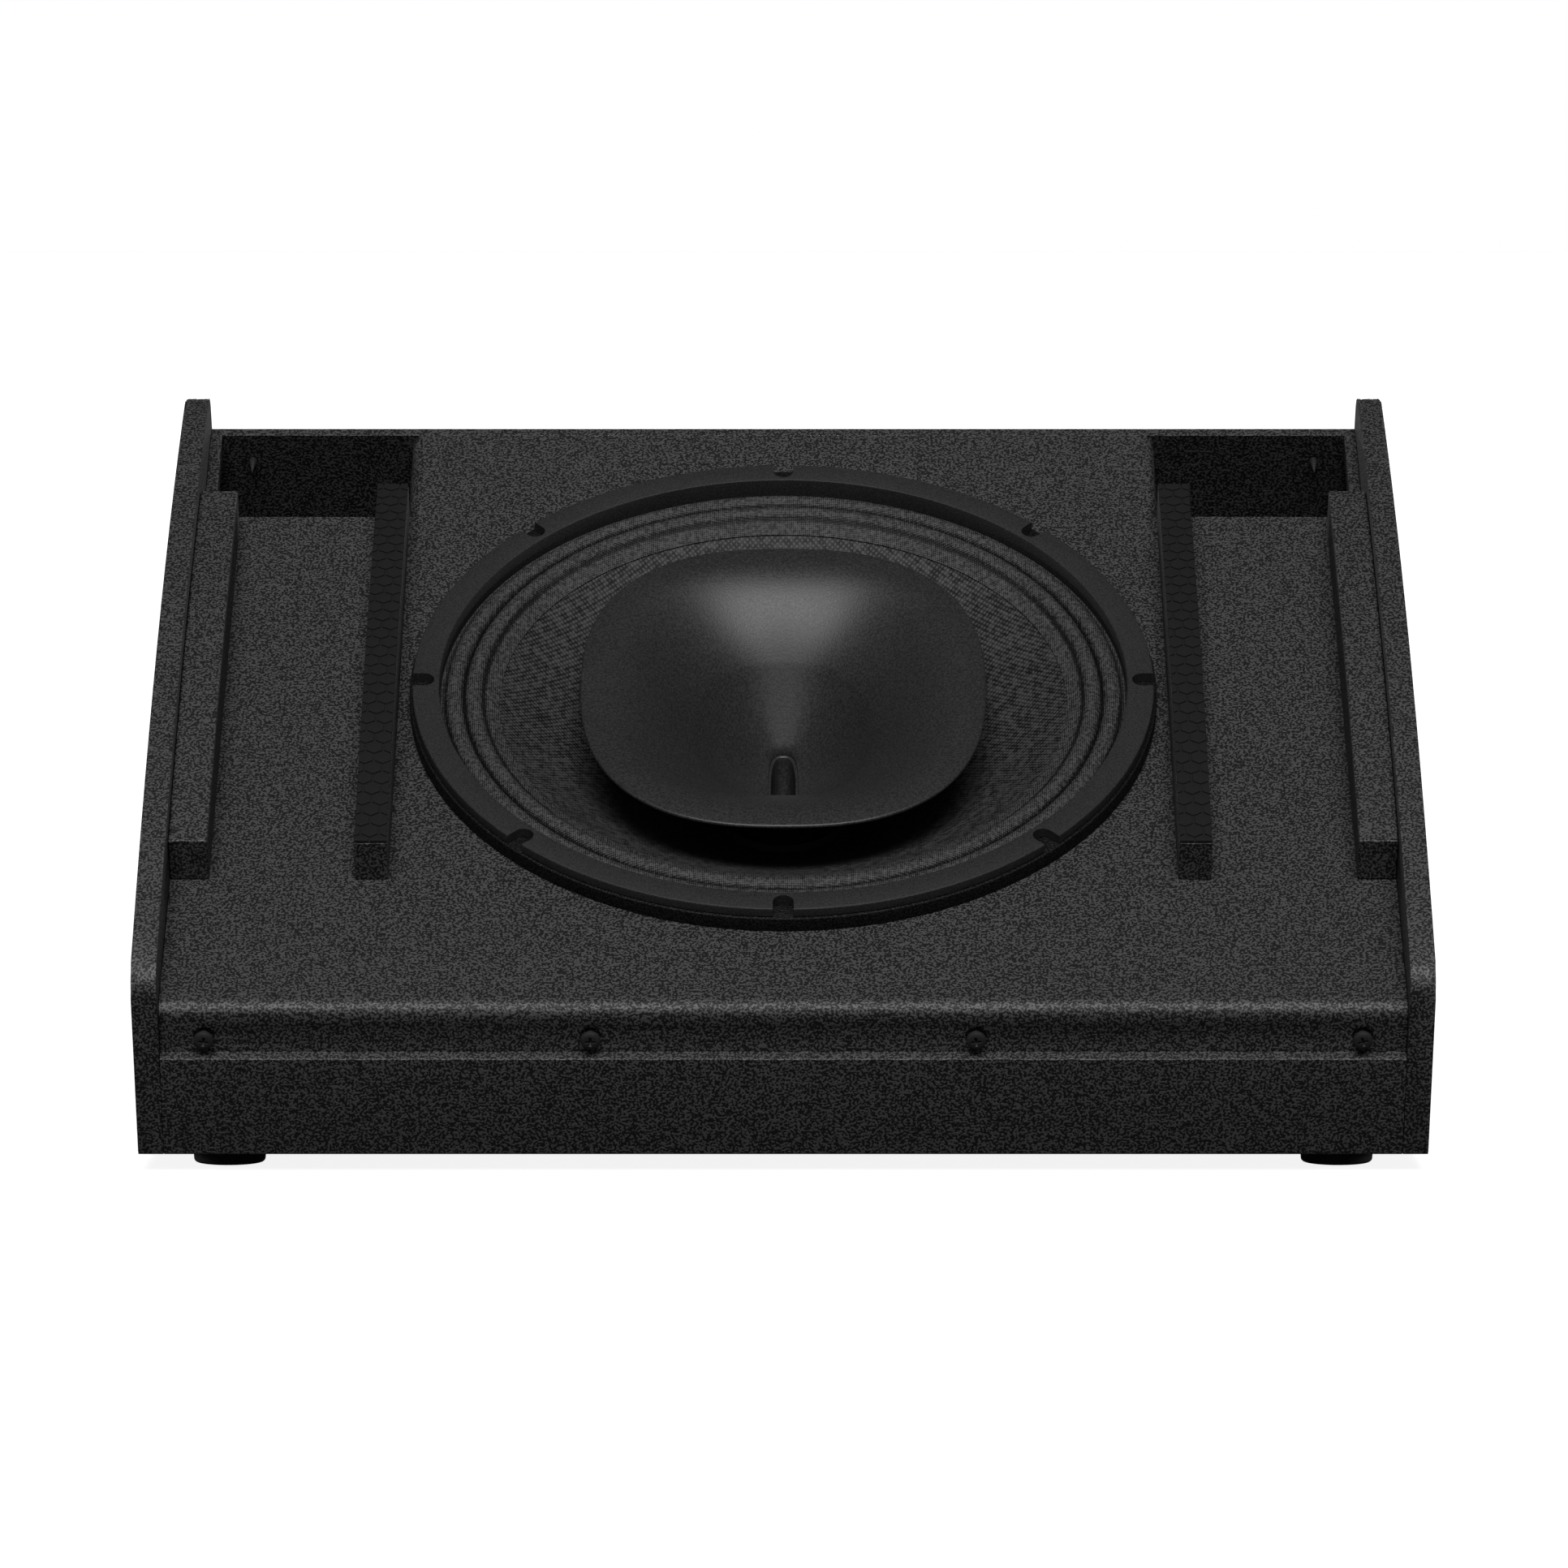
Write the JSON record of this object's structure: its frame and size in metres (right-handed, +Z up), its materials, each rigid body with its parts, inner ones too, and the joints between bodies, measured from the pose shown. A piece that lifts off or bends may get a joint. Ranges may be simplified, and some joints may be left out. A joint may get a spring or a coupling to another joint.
{
  "type": "stage monitor wedge",
  "caption": "Low floor monitor loudspeaker wedge with a coaxial driver and horn on a sloping baffle, side ports, curved side panels and rubber feet.",
  "frame": {"origin": "centre of the bounding box's bottom face, on the floor under the feet", "axes": "+X to the object's right when the baffle faces the viewer, +Y to the rear, +Z up; the baffle faces -Y and up"},
  "size_m": [0.66, 0.5017, 0.3831],
  "materials": {
    "textured_paint": "plywood under structured black polyurea paint",
    "duct_paint": "plywood under flat black paint",
    "foot_rubber": "matt moulded rubber",
    "foam_pad": "thin foam with a pressed hexagon pattern",
    "screw_steel": "blackened steel, satin",
    "driver_frame": "cast, powder coated satin dark grey",
    "spacer_paint": "textured black paint",
    "surround_cloth": "doped woven cloth",
    "cone_paper": "coated, woven relief",
    "spider_cloth": "phenolic treated cloth",
    "former_sheet": "glass fibre sheet",
    "coil_copper": "enamelled copper wire",
    "motor_steel": "zinc plated",
    "magnet_plating": "nickel plated neodymium",
    "horn_plastic": "smooth satin moulding",
    "hf_cover_plastic": "moulded",
    "dome_foil": "thin formed foil",
    "plate_paint": "black powder coat",
    "socket_plastic": "glass filled moulding",
    "handle_plastic": "fine grained moulding",
    "grip_rubber": "ribbed rubber",
    "circuit_board": "solder resist",
    "choke_copper": "wound enamelled wire",
    "capacitor_film": "wrapped film",
    "cable_sheath": "flexible sheath",
    "lining_foam": "open-cell foam"
  },
  "bodies": {
    "cabinet": {"side_panel_left": "textured_paint", "side_panel_right": "textured_paint", "front_panel": "textured_paint", "bottom_panel": "textured_paint", "rear_panel": "textured_paint", "rear_upper_panel": "textured_paint", "baffle": "textured_paint", "outer_batten_left": "textured_paint", "outer_batten_right": "textured_paint", "inner_batten_left": "textured_paint", "inner_batten_right": "textured_paint", "port_front_plate_left": "duct_paint", "port_front_plate_right": "duct_paint", "port_side_plate_left": "duct_paint", "port_side_plate_right": "duct_paint", "rubber_foot_front_left": "foot_rubber", "rubber_foot_front_right": "foot_rubber", "rubber_foot_rear_left": "foot_rubber", "rubber_foot_rear_right": "foot_rubber", "grille_pad_left": "foam_pad", "grille_pad_right": "foam_pad", "grille_screw_front_1": "screw_steel", "grille_screw_front_2": "screw_steel", "grille_screw_front_3": "screw_steel", "grille_screw_front_4": "screw_steel", "grille_screw_rear_1": "screw_steel", "grille_screw_rear_2": "screw_steel", "grille_screw_rear_3": "screw_steel", "grille_screw_rear_4": "screw_steel", "connector_plate_screw_1": "screw_steel", "connector_plate_screw_2": "screw_steel", "connector_plate_screw_3": "screw_steel", "connector_plate_screw_4": "screw_steel", "driver_basket": "driver_frame", "hf_driver_body": "driver_frame", "driver_spacer_ring": "spacer_paint", "surround": "surround_cloth", "spider": "spider_cloth", "top_plate": "motor_steel", "pole_piece": "motor_steel", "magnet_ring": "magnet_plating", "horn": "horn_plastic", "hf_rear_cover": "hf_cover_plastic", "connector_plate": "plate_paint", "connector_input": "socket_plastic", "connector_link": "socket_plastic", "handle_cup": "handle_plastic", "handle_grip": "grip_rubber", "crossover_board": "circuit_board", "lf_choke": "choke_copper", "hf_choke": "choke_copper", "filter_capacitor": "capacitor_film", "input_cable": "cable_sheath", "hf_cable": "cable_sheath", "lf_cable": "cable_sheath", "acoustic_foam": "lining_foam"},
    "cone_assembly": {"cone": "cone_paper", "voice_coil_former": "former_sheet", "voice_coil": "coil_copper"},
    "hf_dome": {"hf_diaphragm": "dome_foil"}
  },
  "joints": [
    {"name": "cone_travel", "type": "slide", "parent": "cabinet", "child": "cone_assembly", "axis": [0, -0.5446, 0.8387], "range_m": [-0.006, 0.006], "stiffness_N_per_m": 4000, "deforming": ["surround", "spider"]},
    {"name": "hf_dome_travel", "type": "slide", "parent": "cabinet", "child": "hf_dome", "axis": [0, -0.5446, 0.8387], "range_m": [-0.0005, 0.0005], "stiffness_N_per_m": 8000}
  ]
}
